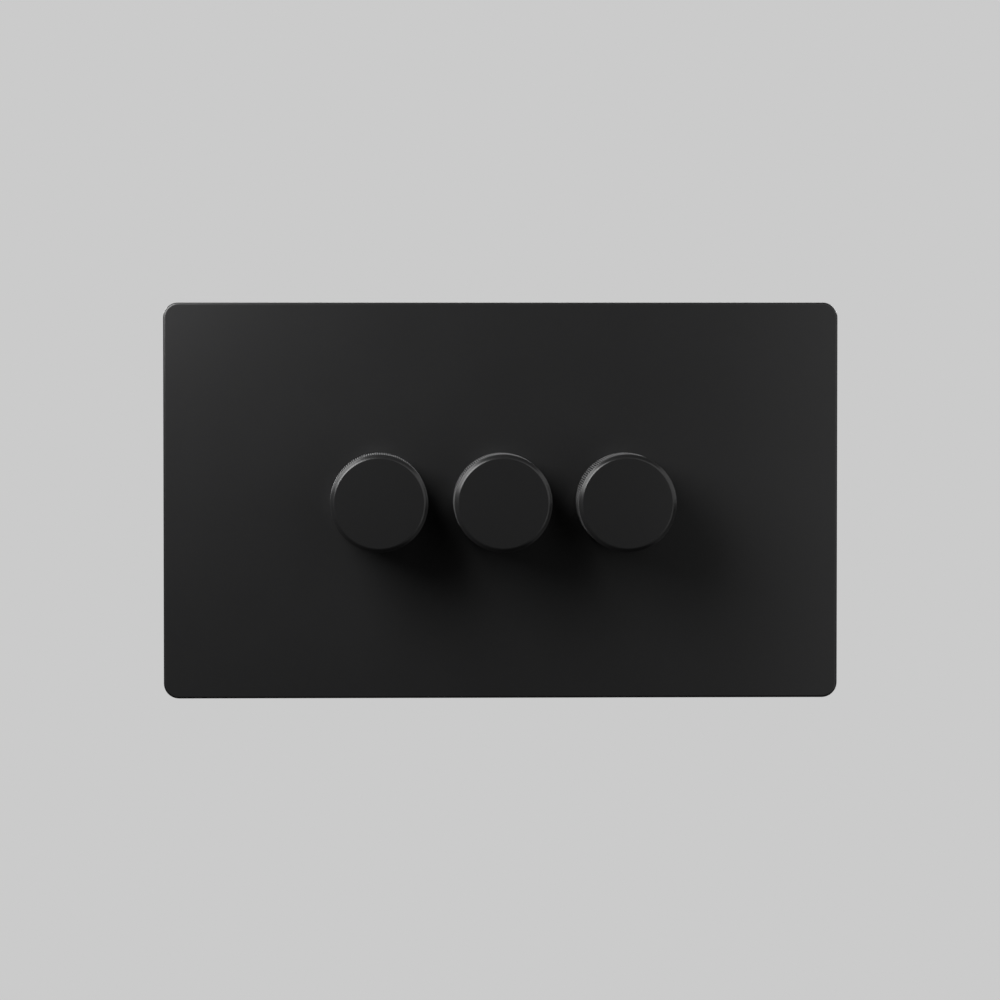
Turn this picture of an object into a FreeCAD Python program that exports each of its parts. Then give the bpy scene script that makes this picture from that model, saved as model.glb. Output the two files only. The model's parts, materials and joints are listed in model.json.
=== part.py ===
import FreeCAD, Part
import math
import os
import re

import Sketcher
from FreeCAD import Placement, Rotation, Vector

# A screwless wall plate with three push-and-turn rotary dimmers, for a double back box.
# Frame: X to the right, Y into the wall, Z up. Y = 0 is the wall's surface, behind the plate's rim.
# Everything a hand touches is at negative Y. The dimmer modules stand in the back box at positive Y.

DIMENSIONS = {
    # front plate
    "plate_width": 146.5,
    "plate_height": 86.0,
    "plate_depth": 4.0,
    "plate_skin": 1.8,
    "plate_rim": 1.6,
    "plate_corner": 3.3,
    "plate_edge": 0.5,
    "plate_hole": 7.3,
    "pry_slot_width": 8.0,
    "pry_slot_depth": 0.9,
    "spindle_pitch": 26.6,
    # mounting frame and its clips
    "frame_gap": 0.8,
    "frame_thickness": 1.2,
    "frame_corner": 2.0,
    "frame_hole": 5.15,
    "box_screw_pitch": 120.6,
    "slot_length": 6.8,
    "slot_radius": 1.95,
    "pip_radius": 1.2,
    "pip_clearance": 0.2,
    "pip_height": 11.0,
    "clip_thickness": 0.3,
    "clip_width": 9.0,
    "clip_foot": 7.0,
    "clip_nose": 0.9,
    "clip_nose_length": 1.6,
    "clip_gap": 0.05,
    "clip_pitch": 96.0,
    # screws into the back box
    "box_screw_radius": 1.75,
    "box_screw_neck": 1.5,
    "box_screw_neck_rear": 0.3,
    "box_screw_reach": 20.0,
    "box_screw_point": 0.6,
    "box_screw_head": 3.4,
    "box_screw_head_height": 0.9,
    "box_screw_head_edge": 0.4,
    "box_screw_slot": 0.8,
    # threaded bush, its washer and its nut
    "bush_radius": 5.0,
    "bush_bore": 3.05,
    "bush_front": 6.6,
    "bush_flange": 6.5,
    "bush_flange_height": 1.1,
    "thread_pitch": 0.75,
    "thread_groove": 0.3,
    "thread_depth": 0.35,
    "washer_radius": 6.9,
    "washer_thickness": 0.6,
    "washer_clearance": 0.05,
    "washer_notch": 0.9,
    "washer_notch_depth": 1.2,
    "nut_flats": 12.0,
    "nut_thickness": 1.9,
    "nut_chamfer": 0.25,
    "nut_bore": 5.02,
    # knob and its set screw
    "knob_radius": 10.5,
    "knob_height": 16.2,
    "knob_gap": 2.0,
    "knob_bevel": 0.9,
    "knob_bevel_depth": 0.6,
    "knob_edge": 0.12,
    "knob_recess": 6.5,
    "knob_recess_depth": 3.0,
    "knob_bore": 3.02,
    "knob_bore_depth": 13.8,
    "set_screw_radius": 1.5,
    "set_screw_length": 5.0,
    "set_screw_socket": 0.75,
    "set_screw_height": 7.0,
    # spindle and its retaining clip
    "spindle_radius": 3.0,
    "spindle_flat": 1.5,
    "spindle_front": 19.6,
    "spindle_rear": 9.2,
    "spindle_round_front": 8.4,
    "spindle_round_rear": 2.2,
    "spindle_chamfer": 0.4,
    "groove_depth": 0.55,
    "groove_front": 8.35,
    "ring_slack": 0.02,
    "ring_thickness": 0.5,
    "ring_mouth": 3.4,
    "ring_radius": 4.1,
    # dimmer module
    "module_width": 25.0,
    "module_height": 46.0,
    "module_corner": 1.5,
    "sink_thickness": 1.5,
    "sink_wing_depth": 8.0,
    "sink_wing_length": 36.0,
    "sink_wing_thickness": 1.0,
    "sink_low_wing_length": 14.0,
    "sink_low_wing_depth": 3.0,
    "casing_depth": 24.5,
    "casing_wall": 1.4,
    "casing_edge": 0.8,
    "casing_clearance": 0.2,
    "casing_screw_radius": 1.1,
    "casing_screw_hole": 1.2,
    "casing_screw_head": 2.0,
    "casing_screw_head_edge": 0.4,
    "casing_screw_head_height": 1.1,
    "casing_screw_sink": 1.2,
    "casing_screw_x": 9.0,
    "casing_screw_z": 20.3,
    "casing_boss": 2.2,
    "cross_half": 0.28,
    "cross_reach": 1.15,
    "cross_depth": 0.6,
    "panel_width": 17.0,
    "panel_height": 20.0,
    "panel_depth": 0.3,
    "panel_z": 5.5,
    "rib_width": 0.6,
    "rib_height": 1.2,
    "rib_pitch": 7.0,
    "rib_length": 20.0,
    "board_width": 21.4,
    "board_height": 42.4,
    "board_thickness": 1.6,
    "board_front": 14.7,
    # rotary control inside the module
    "control_size": 16.0,
    "control_corner": 1.0,
    "control_front": 2.7,
    "control_wall": 0.8,
    "control_depth": 6.0,
    "control_cavity": 6.8,
    "control_hole": 3.3,
    "rotor_radius": 6.4,
    "rotor_hub": 4.2,
    "rotor_disc": 1.2,
    "rotor_step": 1.2,
    "rotor_end_gap": 0.3,
    "rotor_ring_gap": 0.15,
    "rotor_clearance": 0.08,
    "switch_depth": 5.9,
    "switch_cavity": 4.7,
    "slider_radius": 4.3,
    "slider_head": 1.15,
    "slider_stem": 1.5,
    "slider_gap": 0.05,
    "slider_reach": 14.1,
    "slider_board_gap": 0.3,
    "guide_clearance": 0.1,
    "spring_gap": 0.02,
    "spring_wire": 0.45,
    "spring_radius": 2.7,
    "spring_turns": 3.0,
    # parts on the circuit board
    "choke_radius": 5.6,
    "choke_hole": 2.9,
    "choke_depth": 5.4,
    "choke_front": 7.4,
    "choke_z": 14.6,
    "choke_wire": 0.35,
    "choke_slack": 0.04,
    "transistor_width": 10.0,
    "transistor_length": 9.0,
    "transistor_depth": 4.4,
    "transistor_x": 3.9,
    "transistor_low": 19.6,
    "transistor_tab": 1.3,
    "transistor_tab_length": 2.4,
    "transistor_gap": 0.02,
    "transistor_leg": 0.7,
    "transistor_leg_drop": 1.4,
    "transistor_leg_depth": 3.0,
    "transistor_leg_pitch": 2.54,
    "capacitor_width": 13.0,
    "capacitor_height": 6.5,
    "capacitor_depth": 6.4,
    "capacitor_edge": 0.6,
    "capacitor_z": 13.4,
    # mains terminals
    "terminal_pitch": 7.4,
    "terminal_z": 15.2,
    "terminal_width": 6.3,
    "terminal_height": 6.0,
    "terminal_depth": 7.4,
    "terminal_front": 16.6,
    "terminal_window": 4.4,
    "terminal_lip": 1.0,
    "terminal_screw_radius": 1.45,
    "terminal_screw_fit": 0.02,
    "terminal_screw_short": 0.1,
    "terminal_screw_head": 1.9,
    "terminal_screw_head_height": 1.1,
    "terminal_screw_slot": 0.7,
    "terminal_screw_access": 2.1,
    # earth terminal on the back of the mounting frame
    "earth_x": 50.0,
    "earth_z": -18.0,
    "earth_width": 7.6,
    "earth_depth": 9.6,
    "earth_wire": 2.1,
    "earth_wire_depth": 3.6,
    "earth_screw_radius": 1.75,
    "earth_screw_fit": 0.02,
    "earth_screw_short": 0.1,
    "earth_screw_head": 2.8,
    "earth_screw_head_height": 1.6,
    "earth_screw_slot": 0.9,
    "earth_hole": 1.8,
}
GANGS = {"left": -1, "centre": 0, "right": 1}
TERMINALS = (-1, 0, 1)
HANDS = (-1, 1)
THREAD_GROOVES = 6
WASHER_TEETH = 8
RIB_LEVELS = range(-2, 3)
SPRING_WIRE_SIDES = 12
CHOKE_TURNS = 14
CHOKE_TURNS_LEFT_OPEN = 2
WORD = re.compile(r"[a-z]+(?:_[a-z]+)+")

doc = FreeCAD.newDocument("dimmer_plate")
parts = []


# ---------------------------------------------------------------- document helpers


def make_sheet():
    sheet = doc.addObject("Spreadsheet::Sheet", "dims")
    for row, (alias, millimetres) in enumerate(DIMENSIONS.items(), 1):
        sheet.set(f"A{row}", alias)
        sheet.set(f"B{row}", str(millimetres))
        sheet.setAlias(f"B{row}", alias)
    doc.recompute()
    return sheet


def expression(text):
    """The text with each dimension's name pointed at its cell."""
    return WORD.sub(lambda found: f"dims.{found.group()}", text)


def bind(obj, **sizes):
    """Binds properties to expressions. A double underscore stands for a dot in a property's path."""
    for path, text in sizes.items():
        obj.setExpression(path.replace("__", "."), expression(text))
    return obj


def place(obj, x="0", y="0", z="0"):
    return bind(obj, Placement__Base__x=x, Placement__Base__y=y, Placement__Base__z=z)


def keep(obj, label):
    """Marks an object as a sub-part, whose label names its node."""
    obj.Label = label
    parts.append(obj)
    return obj


# ---------------------------------------------------------------- sketch helpers


def sketch_on(body, role, forward="0"):
    """A sketch on one of the body's origin planes, moved forward along that plane's normal."""
    sketch = body.newObject("Sketcher::SketchObject", "Sketch")
    plane = next(o for o in body.Origin.OriginFeatures if o.Role == role)
    sketch.AttachmentSupport = (plane, [""])
    sketch.MapMode = "FlatFace"
    return bind(sketch, AttachmentOffset__Base__z=forward)


def pin(sketch, geometry, point, x, y):
    """Places one point of the sketch by two expressions."""
    for kind, text in (("DistanceX", x), ("DistanceY", y)):
        index = sketch.addConstraint(Sketcher.Constraint(kind, -1, 1, geometry, point, 1.0))
        sketch.setExpression(f"Constraints[{index}]", expression(text))


def outline(sketch, corners):
    """A closed outline of straight lines, which start as a regular polygon until the pins place them."""
    count, first = len(corners), sketch.GeometryCount
    start = [
        Vector(math.cos(2 * math.pi * i / count), math.sin(2 * math.pi * i / count), 0)
        for i in range(count)
    ]
    for i in range(count):
        sketch.addGeometry(Part.LineSegment(start[i], start[(i + 1) % count]))
    for i in range(count):
        following = first + (i + 1) % count
        sketch.addConstraint(Sketcher.Constraint("Coincident", first + i, 2, following, 1))
    for i, (x, y) in enumerate(corners):
        pin(sketch, first + i, 1, x, y)
    return sketch


def rectangle(sketch, width, height, x="0", y="0"):
    """A rectangle about a centre."""
    left, right = f"({x}) - ({width}) / 2", f"({x}) + ({width}) / 2"
    low, high = f"({y}) - ({height}) / 2", f"({y}) + ({height}) / 2"
    return outline(sketch, [(left, low), (right, low), (right, high), (left, high)])


def circle(sketch, radius, x="0", y="0"):
    geometry = sketch.addGeometry(Part.Circle(Vector(1, 1, 0), Vector(0, 0, 1), 1))
    pin(sketch, geometry, 3, x, y)
    index = sketch.addConstraint(Sketcher.Constraint("Radius", geometry, 1.0))
    sketch.setExpression(f"Constraints[{index}]", expression(radius))
    return sketch


# ---------------------------------------------------------------- body helpers


def new_body(x="0", y="0", z="0"):
    return place(doc.addObject("PartDesign::Body", "Body"), x, y, z)


def feature(body, kind, **sizes):
    made = body.newObject(f"PartDesign::{kind}", kind)
    bind(made, **sizes)
    body.Tip = made
    return made


def face_sketch(body, depth="0"):
    """A sketch that faces the room, in X and Z, at a depth behind the wall's surface."""
    return sketch_on(body, "XZ_Plane", f"-1 * ({depth})")


def pad(body, sketch, length, into_wall=True):
    """Grows material from a face sketch, whose normal points out of the wall."""
    made = feature(body, "Pad", Length=length)
    made.Profile = sketch
    made.Reversed = into_wall
    return made


def pocket(body, sketch, length, against_normal=True):
    """Cuts material against the sketch's normal, which is into the wall for a face sketch."""
    before = solid_volume(body)
    made = feature(body, "Pocket", Length=length)
    made.Profile = sketch
    made.Reversed = not against_normal
    if solid_volume(body) >= before:
        raise RuntimeError(f"a pocket of {body.Name} cuts nothing")
    return made


def solid_volume(body):
    doc.recompute()
    return body.Shape.Volume


def turned(body, corners):
    """A solid turned about Y, from an outline of (radius, y) corners."""
    sketch = outline(sketch_on(body, "XY_Plane"), corners)
    made = feature(body, "Revolution")
    made.Profile = sketch
    made.ReferenceAxis = (sketch, ["V_Axis"])
    made.Angle = 360
    doc.recompute()
    return made


def edge_names(body, chosen):
    """The names of the body's edges that pass the test."""
    doc.recompute()
    return [f"Edge{i}" for i, edge in enumerate(body.Tip.Shape.Edges, 1) if chosen(edge)]


def runs_along_y(edge):
    ends = [v.Point for v in edge.Vertexes]
    return len(ends) == 2 and math.hypot(ends[1].x - ends[0].x, ends[1].z - ends[0].z) < 1e-6


def lies_at(y):
    return lambda edge: all(abs(v.Point.y - y) < 1e-6 for v in edge.Vertexes)


def round_edges(body, chosen, radius, kind="Fillet"):
    names = edge_names(body, chosen)
    if not names:
        raise RuntimeError(f"no edge of {body.Name} to round")
    base = body.Tip
    made = feature(body, kind)
    made.Base = (base, names)
    bind(made, **{"Radius" if kind == "Fillet" else "Size": radius})
    doc.recompute()
    return made


# ---------------------------------------------------------------- primitive helpers


def box(width, depth, height, x="0", y="0", z="0"):
    """A box about x and z, from y into the wall."""
    made = doc.addObject("Part::Box", "Box")
    bind(made, Length=width, Width=depth, Height=height)
    return place(made, f"({x}) - ({width}) / 2", y, f"({z}) - ({height}) / 2")


def rod(radius, length, x="0", y="0", z="0"):
    """A cylinder from y into the wall."""
    made = doc.addObject("Part::Cylinder", "Rod")
    bind(made, Radius=radius, Height=length)
    made.Placement = Placement(Vector(), Rotation(Vector(1, 0, 0), -90))
    return place(made, x, y, z)


def upright(radius, length, x="0", y="0", z="0"):
    """A cylinder from z upwards."""
    made = doc.addObject("Part::Cylinder", "Upright")
    bind(made, Radius=radius, Height=length)
    return place(made, x, y, z)


def cut(base, *tools):
    for tool in tools:
        made = doc.addObject("Part::Cut", "Cut")
        made.Base, made.Tool = base, tool
        base = made
    return base


def fuse(*shapes):
    made = doc.addObject("Part::MultiFuse", "Fuse")
    made.Shapes = list(shapes)
    return made


def group(label, members):
    """Identical pieces that share one node, as separate solids."""
    made = doc.addObject("Part::Compound", "Group")
    made.Links = members
    return keep(made, label)


def millimetres(name):
    return DIMENSIONS[name]


def gang_x(side):
    return f"{side} * spindle_pitch"


# ---------------------------------------------------------------- plate and frame


def front_plate():
    body = new_body()
    pad(body, rectangle(face_sketch(body), "plate_width", "plate_height"), "plate_depth", False)
    round_edges(body, runs_along_y, "plate_corner")
    round_edges(body, lies_at(-millimetres("plate_depth")), "plate_edge")
    inside = rectangle(
        face_sketch(body), "plate_width - 2 * plate_rim", "plate_height - 2 * plate_rim"
    )
    pocket(body, inside, "plate_depth - plate_skin", False)
    inner = millimetres("plate_width") / 2 - millimetres("plate_rim")
    round_edges(
        body,
        lambda edge: runs_along_y(edge) and abs(abs(edge.Vertexes[0].Point.x) - inner) < 1e-6,
        "plate_corner - plate_rim",
    )
    holes = face_sketch(body)
    for side in GANGS.values():
        circle(holes, "plate_hole", gang_x(side))
    pocket(body, holes, "plate_depth", False)
    slot = rectangle(
        face_sketch(body), "pry_slot_width", "plate_rim * 2", "0", "-1 * plate_height / 2"
    )
    pocket(body, slot, "pry_slot_depth", False)
    return keep(body, "front_plate")


def mounting_frame():
    body = new_body()
    margin = "2 * (plate_rim + frame_gap)"
    sheet = rectangle(face_sketch(body), f"plate_width - {margin}", f"plate_height - {margin}")
    pad(body, sheet, "frame_thickness", False)
    round_edges(body, runs_along_y, "frame_corner")
    holes = face_sketch(body)
    for side in GANGS.values():
        circle(holes, "frame_hole", gang_x(side))
        circle(holes, "pip_radius + pip_clearance", gang_x(side), "pip_height")
    pocket(body, holes, "frame_thickness", False)
    slots = face_sketch(body)
    ends = face_sketch(body)
    for side in HANDS:
        centre = f"{side} * box_screw_pitch / 2"
        rectangle(slots, "slot_length - 2 * slot_radius", "2 * slot_radius", centre)
        for end in HANDS:
            circle(ends, "slot_radius", f"{centre} + {end} * (slot_length / 2 - slot_radius)")
    pocket(body, slots, "frame_thickness", False)
    pocket(body, ends, "frame_thickness", False)
    tapped = circle(face_sketch(body), "earth_hole", "earth_x", "earth_z")
    pocket(body, tapped, "frame_thickness", False)
    return keep(body, "mounting_frame")


def plate_clip(side, level):
    """A leaf spring spot-welded to the frame. Its nose presses outwards on the plate's rim."""
    body = new_body(f"{side} * clip_pitch / 2", "-1 * frame_thickness", "0")
    edge = f"{level} * (plate_height / 2 - plate_rim)"
    foot = f"{edge} - {level} * clip_foot"
    bend = f"{edge} - {level} * clip_nose_length"
    tip = f"{edge} - {level} * clip_gap"
    fold = f"{tip} - {level} * 1.5 * clip_thickness"
    profile = [
        ("0", foot),
        ("0", bend),
        ("clip_nose / 2", tip),
        ("clip_nose", bend),
        ("clip_nose - clip_thickness", bend),
        ("clip_nose / 2", fold),
        ("clip_thickness", bend),
        ("clip_thickness", foot),
    ]
    sketch = sketch_on(body, "YZ_Plane", "-1 * clip_width / 2")
    outline(sketch, [(f"-1 * ({y})", z) for y, z in profile])
    made = feature(body, "Pad", Length="clip_width")
    made.Profile = sketch
    return body


def box_screw(side):
    """A slotted pan-head machine screw through a slot of the frame, standing out into the back box."""
    body = new_body(f"{side} * box_screw_pitch / 2", "-1 * frame_thickness", "0")
    turned(
        body,
        [
            ("0", "-1 * box_screw_head_height"),
            ("box_screw_head - box_screw_head_edge", "-1 * box_screw_head_height"),
            ("box_screw_head", "box_screw_head_edge - box_screw_head_height"),
            ("box_screw_head", "0"),
            ("box_screw_neck", "0"),
            ("box_screw_neck", "frame_thickness + box_screw_neck_rear"),
            ("box_screw_radius", "frame_thickness + box_screw_neck_rear"),
            ("box_screw_radius", "box_screw_reach + frame_thickness - box_screw_point"),
            ("box_screw_radius - box_screw_point", "box_screw_reach + frame_thickness"),
            ("0", "box_screw_reach + frame_thickness"),
        ],
    )
    slot = rectangle(
        face_sketch(body, "-1 * box_screw_head_height"), "2.4 * box_screw_head", "box_screw_slot"
    )
    pocket(body, slot, "box_screw_head_height / 2")
    return body


# ---------------------------------------------------------------- knob, spindle and bush


def knob(name, side):
    """A solid metal knob with a bevelled face, a recess that clears the bush and a D-shaped bore."""
    body = new_body(gang_x(side), "-1 * (plate_depth + knob_gap)")
    turned(
        body,
        [
            ("knob_recess", "0"),
            ("knob_radius - knob_edge", "0"),
            ("knob_radius", "-1 * knob_edge"),
            ("knob_radius", "-1 * (knob_height - knob_bevel_depth)"),
            ("knob_radius - knob_bevel", "-1 * knob_height"),
            ("0", "-1 * knob_height"),
            ("0", "-1 * knob_recess_depth"),
            ("knob_recess", "-1 * knob_recess_depth"),
        ],
    )
    bore = face_sketch(body, "-1 * knob_recess_depth")
    d_shape(bore, "knob_bore", "spindle_flat + knob_bore - spindle_radius")
    pocket(body, bore, "knob_bore_depth - knob_recess_depth", False)
    tapped = circle(
        sketch_on(body, "XY_Plane", "-1 * knob_radius"),
        "set_screw_radius",
        "0",
        "-1 * set_screw_height",
    )
    pocket(body, tapped, "knob_radius", False)
    return keep(body, f"{name}_knob")


def d_shape(sketch, radius, flat):
    """A circle with a flat below its centre, as one arc and one line."""
    reach, drop = DIMENSIONS["spindle_radius"], DIMENSIONS["spindle_flat"]
    low = math.asin(-drop / reach)
    arc = sketch.addGeometry(
        Part.ArcOfCircle(Part.Circle(Vector(), Vector(0, 0, 1), reach), low, math.pi - low)
    )
    half = reach * math.cos(low)
    line = sketch.addGeometry(Part.LineSegment(Vector(-half, -drop, 0), Vector(half, -drop, 0)))
    sketch.addConstraint(Sketcher.Constraint("Coincident", arc, 3, -1, 1))
    sketch.addConstraint(Sketcher.Constraint("Coincident", arc, 2, line, 1))
    sketch.addConstraint(Sketcher.Constraint("Coincident", line, 2, arc, 1))
    sketch.addConstraint(Sketcher.Constraint("Horizontal", line))
    index = sketch.addConstraint(Sketcher.Constraint("Radius", arc, reach))
    sketch.setExpression(f"Constraints[{index}]", expression(radius))
    index = sketch.addConstraint(Sketcher.Constraint("DistanceY", line, 1, -1, 1, drop))
    sketch.setExpression(f"Constraints[{index}]", expression(flat))
    return sketch


def set_screw(name, side):
    """A socket set screw that bears on the spindle's flat from below."""
    depth = "-1 * (plate_depth + knob_gap + set_screw_height)"
    screw = upright(
        "set_screw_radius",
        "set_screw_length",
        gang_x(side),
        depth,
        "-1 * (spindle_flat + set_screw_length)",
    )
    socket = doc.addObject("Part::Prism", "Socket")
    bind(socket, Circumradius="set_screw_socket", Height="set_screw_length * 0.4")
    place(socket, gang_x(side), depth, "-1 * (spindle_flat + set_screw_length)")
    return keep(cut(screw, socket), f"{name}_set_screw")


def spindle(name, side):
    """The shaft: a D section in the knob, a round journal in the bush, and a D section in the rotor."""
    body = new_body(gang_x(side))
    turned(
        body,
        [
            ("0", "-1 * spindle_front"),
            ("spindle_radius - spindle_chamfer", "-1 * spindle_front"),
            ("spindle_radius", "spindle_chamfer - spindle_front"),
            ("spindle_radius", "groove_front"),
            ("spindle_radius - groove_depth", "groove_front"),
            ("spindle_radius - groove_depth", "groove_front + ring_thickness"),
            ("spindle_radius", "groove_front + ring_thickness"),
            ("spindle_radius", "spindle_rear"),
            ("0", "spindle_rear"),
        ],
    )
    waste = "spindle_radius - spindle_flat + 1"
    drop = f"-1 * (spindle_flat + ({waste}) / 2)"
    front_flat = rectangle(
        face_sketch(body, "-1 * spindle_front"), "3 * spindle_radius", waste, "0", drop
    )
    pocket(body, front_flat, "spindle_front - spindle_round_front")
    rear_flat = rectangle(
        face_sketch(body, "spindle_round_rear"), "3 * spindle_radius", waste, "0", drop
    )
    pocket(body, rear_flat, "spindle_rear - spindle_round_rear")
    return keep(body, f"{name}_spindle")


def retaining_ring(name, side):
    """A C-shaped ring in the spindle's groove, which stops it from being pulled out."""
    x, seat = gang_x(side), "groove_front + ring_slack"
    thickness = "ring_thickness - 2 * ring_slack"
    ring = rod("ring_radius", thickness, x, seat)
    bore = rod("spindle_radius - groove_depth + ring_slack", thickness, x, seat)
    mouth = box("ring_mouth", thickness, "ring_radius", x, seat, "ring_radius / 2")
    return keep(cut(ring, bore, mouth), f"{name}_retaining_ring")


def bush(name, side):
    """The threaded bush that guides the spindle. Its thread is a row of ring grooves."""
    body = new_body(gang_x(side))
    root = "bush_radius - thread_depth"
    corners = [
        ("bush_bore", "-1 * bush_front"),
        (root, "-1 * bush_front"),
        ("bush_radius", "thread_groove - bush_front"),
    ]
    for turn in range(1, THREAD_GROOVES + 1):
        middle = f"{turn} * thread_pitch - bush_front"
        corners += [
            ("bush_radius", f"{middle} - thread_groove"),
            (root, middle),
            ("bush_radius", f"{middle} + thread_groove"),
        ]
    corners += [
        ("bush_radius", "sink_thickness"),
        ("bush_flange", "sink_thickness"),
        ("bush_flange", "sink_thickness + bush_flange_height"),
        ("bush_bore", "sink_thickness + bush_flange_height"),
    ]
    turned(body, corners)
    return keep(body, f"{name}_bush")


def bush_nut(side):
    """A thin hexagon nut on the bush."""
    body = new_body(gang_x(side), "-1 * (frame_thickness + washer_thickness)")
    corners = [
        (f"nut_flats / sqrt(3) * cos({60 * i + 30})", f"nut_flats / sqrt(3) * sin({60 * i + 30})")
        for i in range(6)
    ]
    sketch = face_sketch(body)
    outline(sketch, corners)
    circle(sketch, "nut_bore")
    pad(body, sketch, "nut_thickness", False)
    front = lies_at(-millimetres("nut_thickness"))
    round_edges(
        body,
        lambda edge: front(edge) and isinstance(edge.Curve, Part.Line),
        "nut_chamfer",
        "Chamfer",
    )
    return body


def lock_washer(side):
    """A shakeproof washer with internal teeth."""
    x, front = gang_x(side), "-1 * (frame_thickness + washer_thickness)"
    ring = rod("washer_radius", "washer_thickness", x, front)
    bore = rod("bush_radius + washer_clearance", "washer_thickness", x, front)
    washer = cut(ring, bore)
    for tooth in range(WASHER_TEETH):
        notch = box(
            "washer_notch", "washer_thickness", "2 * washer_notch_depth", "0", "0", "bush_radius"
        )
        turned_notch = doc.addObject("Part::Compound", "Notch")
        turned_notch.Links = [notch]
        angle = 360 / WASHER_TEETH * tooth
        turned_notch.Placement = Placement(Vector(), Rotation(Vector(0, 1, 0), angle))
        place(turned_notch, x, front)
        washer = cut(washer, turned_notch)
    return washer


# ---------------------------------------------------------------- dimmer module


def heat_sink(name, side):
    """The module's metal cover, with three wings inside the casing and a pip that stops it turning."""
    body = new_body(gang_x(side))
    pad(
        body, rectangle(face_sketch(body), "module_width", "module_height"), "sink_thickness"
    )
    round_edges(body, runs_along_y, "module_corner")
    hole = circle(face_sketch(body), "bush_radius + 0.02")
    pocket(body, hole, "sink_thickness")
    wings = face_sketch(body, "sink_thickness")
    inset = "module_width / 2 - casing_wall - casing_clearance - sink_wing_thickness / 2"
    for hand in HANDS:
        rectangle(wings, "sink_wing_thickness", "sink_wing_length", f"{hand} * ({inset})")
    pad(body, wings, "sink_wing_depth")
    low = "casing_wall + casing_clearance + sink_wing_thickness / 2 - module_height / 2"
    low_wing = rectangle(
        face_sketch(body, "sink_thickness"), "sink_low_wing_length", "sink_wing_thickness", "0", low
    )
    pad(body, low_wing, "sink_low_wing_depth")
    pip = circle(face_sketch(body), "pip_radius", "0", "pip_height")
    pad(body, pip, "frame_thickness", False)
    return keep(body, f"{name}_heat_sink")


def casing(name, side):
    """The module's moulded housing, open towards the heat sink."""
    body = new_body(gang_x(side), "sink_thickness")
    pad(body, rectangle(face_sketch(body), "module_width", "module_height"), "casing_depth")
    round_edges(body, runs_along_y, "module_corner")
    round_edges(body, lies_at(millimetres("casing_depth")), "casing_edge")
    inside = rectangle(
        face_sketch(body), "module_width - 2 * casing_wall", "module_height - 2 * casing_wall"
    )
    pocket(body, inside, "casing_depth - casing_wall")
    bosses, holes, sunk = face_sketch(body), face_sketch(body), face_sketch(body, "casing_depth")
    for hand in HANDS:
        place_of_screw = (f"{hand} * casing_screw_x", "casing_screw_z")
        circle(bosses, "casing_boss", *place_of_screw)
        circle(holes, "casing_screw_hole", *place_of_screw)
        circle(sunk, "casing_screw_head + casing_clearance", *place_of_screw)
    pad(body, bosses, "casing_depth - casing_wall")
    pocket(body, holes, "casing_depth")
    pocket(body, sunk, "casing_screw_sink", False)
    access = face_sketch(body, "casing_depth")
    for across in TERMINALS:
        circle(access, "terminal_screw_access", f"{across} * terminal_pitch", "-1 * terminal_z")
    pocket(body, access, "casing_wall", False)
    panel = rectangle(
        face_sketch(body, "casing_depth"), "panel_width", "panel_height", "0", "panel_z"
    )
    pocket(body, panel, "panel_depth", False)
    entries = sketch_on(body, "XY_Plane", "-1 * module_height / 2")
    middle = "terminal_front + terminal_lip + terminal_window / 2 - sink_thickness"
    for across in TERMINALS:
        rectangle(
            entries, "terminal_window", "terminal_window", f"{across} * terminal_pitch", middle
        )
    pocket(body, entries, "casing_wall", False)
    ribs = face_sketch(body, "sink_thickness")
    for hand in HANDS:
        for level in RIB_LEVELS:
            x, z = f"{hand} * module_width / 2", f"{level} * rib_pitch"
            rectangle(ribs, "rib_width", "rib_height", x, z)
    pad(body, ribs, "rib_length")
    return keep(body, f"{name}_casing")


def casing_screw(side, hand):
    """A pan-head screw, sunk into the back of a casing, with its tip at the heat sink."""
    under = "sink_thickness + casing_depth - casing_screw_sink"
    body = new_body(f"{gang_x(side)} + {hand} * casing_screw_x", under, "casing_screw_z")
    tip = "casing_screw_sink - casing_depth"
    turned(
        body,
        [
            ("0", "casing_screw_head_height"),
            ("casing_screw_head - casing_screw_head_edge", "casing_screw_head_height"),
            ("casing_screw_head", "casing_screw_head_height - casing_screw_head_edge"),
            ("casing_screw_head", "0"),
            ("casing_screw_radius", "0"),
            ("casing_screw_radius", tip),
            ("0", tip),
        ],
    )
    cross = face_sketch(body, "casing_screw_head_height")
    outline(cross, cross_corners("cross_half", "cross_reach"))
    pocket(body, cross, "cross_depth", False)
    return body


def cross_corners(half, reach):
    """The twelve corners of a cross recess, from its arms' half-width and reach."""
    quarter = [(half, half), (reach, half), (reach, f"-1 * {half}")]
    corners = []
    for turn in range(4):
        for x, y in quarter:
            for _ in range(turn):
                x, y = y, f"-1 * ({x})"
            corners.append((x, y))
    return corners


def circuit_board(name, side):
    body = new_body(gang_x(side), "board_front")
    pad(body, rectangle(face_sketch(body), "board_width", "board_height"), "board_thickness")
    holes = face_sketch(body)
    for hand in HANDS:
        boss_x = f"{hand} * casing_screw_x"
        circle(holes, "casing_boss + casing_clearance", boss_x, "casing_screw_z")
    circle(holes, "slider_stem + slider_board_gap")
    pocket(body, holes, "board_thickness")
    return keep(body, f"{name}_circuit_board")


def moulded_block(front, depth, cavity, cavity_front, cavity_depth, hole):
    """A square moulded block with a round cavity behind or in front, and a guide hole right through."""
    body = new_body(y=front)
    pad(body, rectangle(face_sketch(body), "control_size", "control_size"), depth)
    round_edges(body, runs_along_y, "control_corner")
    pocket(body, circle(face_sketch(body, cavity_front), cavity), cavity_depth)
    pocket(body, circle(face_sketch(body), hole), depth)
    return body


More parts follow.
